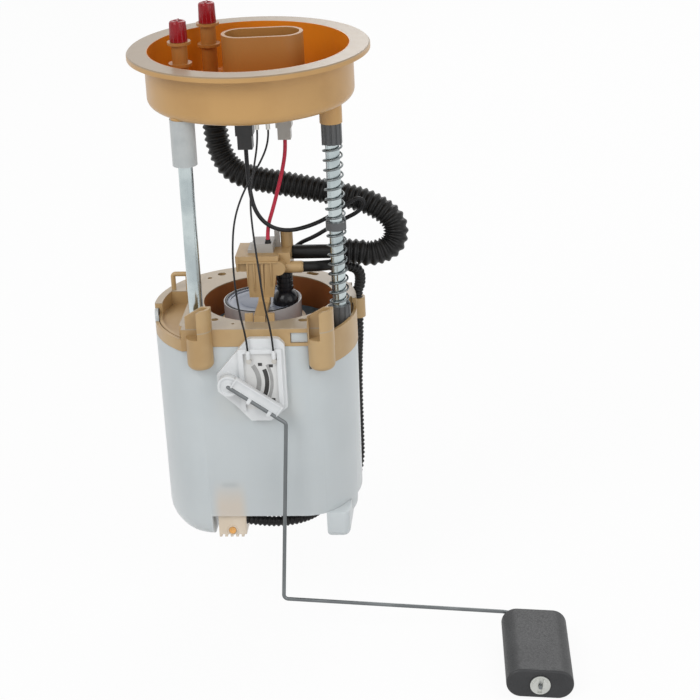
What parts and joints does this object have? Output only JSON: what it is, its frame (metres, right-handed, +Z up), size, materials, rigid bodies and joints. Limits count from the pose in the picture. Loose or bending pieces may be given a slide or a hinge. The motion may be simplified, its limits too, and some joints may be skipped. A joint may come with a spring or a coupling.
{
  "type": "fuel pump module",
  "caption": "In-tank fuel pump module: round flange on two guide rods, sprung milky reservoir pot with pump inside, corrugated hose, wiring, and a float on a bent wire arm.",
  "frame": {"origin": "centre of the flange's seat, the underside of the brim, which rests on the fuel tank", "axes": "+Z points up and out of the tank; -Y points to the side with the level sender; +X points to the float"},
  "size_m": [0.2411, 0.2063, 0.3492],
  "materials": {
    "amber_plastic": "satin, moulded",
    "tan_plastic": "satin, moulded",
    "tin_plate": "tin plated",
    "zinc_plate": "bright zinc plate",
    "spring_steel": "oiled spring steel",
    "white_plastic": "satin",
    "dark_plastic": "satin",
    "black_plastic": "satin",
    "clear_white_plastic": "milky, slightly translucent",
    "black_rubber": "matt",
    "grey_plastic": "satin",
    "copper": "bright",
    "ferrite": "ground",
    "carbon": "sintered",
    "hose_rubber": "satin, corrugated",
    "orange_plastic": "satin",
    "ceramic": "fired, with dark tracks",
    "arm_steel": "drawn wire",
    "float_foam": "fine closed foam",
    "red_plastic": "gloss",
    "red_insulation": "gloss",
    "black_insulation": "gloss"
  },
  "bodies": {
    "flange": {"flange_cover": "amber_plastic", "connector_pins": "tin_plate", "left_rod": "zinc_plate", "right_rod": "zinc_plate", "rod_clips": "spring_steel", "left_rod_sleeve": "white_plastic", "right_rod_sleeve": "dark_plastic", "black_plug": "black_plastic", "white_plug": "white_plastic", "sender_terminals": "tin_plate", "spring_upper": "spring_steel", "spring_lower": "spring_steel", "feed_hose": "hose_rubber", "red_wire": "red_insulation", "black_wire": "black_insulation", "left_thin_wire": "black_insulation", "right_thin_wire": "black_insulation"},
    "reservoir": {"holder_ring": "tan_plastic", "left_bush": "dark_plastic", "right_bush": "dark_plastic", "reservoir_pot": "clear_white_plastic", "pump_cup": "white_plastic", "pump_isolators": "black_rubber", "pump_can": "zinc_plate", "pump_top_cover": "grey_plastic", "pump_inlet_cover": "grey_plastic", "pump_chamber": "grey_plastic", "magnets": "ferrite", "pump_bearings": "copper", "brushes": "carbon", "brush_springs": "copper", "inlet_strainer": "white_plastic", "inlet_valve": "black_rubber", "outlet_bracket": "tan_plastic", "check_valve_spring": "spring_steel", "bracket_cap": "white_plastic", "pump_elbow": "black_rubber", "feed_hose_end": "hose_rubber", "jet_pump": "tan_plastic", "relief_plug": "orange_plastic", "sender_body": "white_plastic", "sender_track": "ceramic", "sender_studs": "tin_plate", "jet_tube_upper": "hose_rubber", "jet_tube_lower": "hose_rubber"},
    "spring_collar": {"spring_collar": "dark_plastic"},
    "float_arm": {"arm_holder": "white_plastic", "float_wire": "arm_steel", "wiper_contact": "copper", "float_retainer": "zinc_plate"},
    "float": {"fuel_float": "float_foam"},
    "rotor": {"impeller": "black_plastic", "armature": "spring_steel", "commutator": "copper"},
    "check_valve": {"check_valve_poppet": "black_rubber"},
    "front_cap": {"front_cap": "red_plastic"},
    "rear_cap": {"rear_cap": "red_plastic"}
  },
  "joints": [
    {"name": "reservoir_slide", "type": "slide", "parent": "flange", "child": "reservoir", "axis": [0, 0, 1], "range_m": [0, 0.045], "stiffness_N_per_m": 250, "springref_m": -0.03, "deforming": ["spring_upper", "spring_lower", "feed_hose", "red_wire", "black_wire", "left_thin_wire", "right_thin_wire"]},
    {"name": "spring_collar_slide", "type": "slide", "parent": "flange", "child": "spring_collar", "axis": [0, 0, 1], "range_m": [0, 0.0225]},
    {"name": "float_arm_swing", "type": "hinge", "parent": "reservoir", "child": "float_arm", "pos_m": [-0.015, -0.06, -0.1751], "axis": [0, -1, 0], "range_deg": [0, 78]},
    {"name": "float_turn", "type": "hinge", "parent": "float_arm", "child": "float", "pos_m": [0.1518, -0.06, -0.3192], "axis": [0.054, -0.9985, 0], "continuous": true},
    {"name": "rotor_spin", "type": "hinge", "parent": "reservoir", "child": "rotor", "pos_m": [-0.0005, -0.0015, -0.19], "axis": [0, 0, 1], "continuous": true},
    {"name": "check_valve_lift", "type": "slide", "parent": "reservoir", "child": "check_valve", "axis": [0, 0, 1], "range_m": [0, 0.0015], "stiffness_N_per_m": 60, "springref_m": -0.003, "deforming": ["check_valve_spring"]},
    {"name": "front_cap_pull", "type": "slide", "parent": "flange", "child": "front_cap", "axis": [0, 0, 1], "range_m": [0, 0.03]},
    {"name": "rear_cap_pull", "type": "slide", "parent": "flange", "child": "rear_cap", "axis": [0, 0, 1], "range_m": [0, 0.03]}
  ],
  "couplings": [
    {"joint": "spring_collar_slide", "follows": "reservoir_slide", "ratio": 0.5}
  ]
}
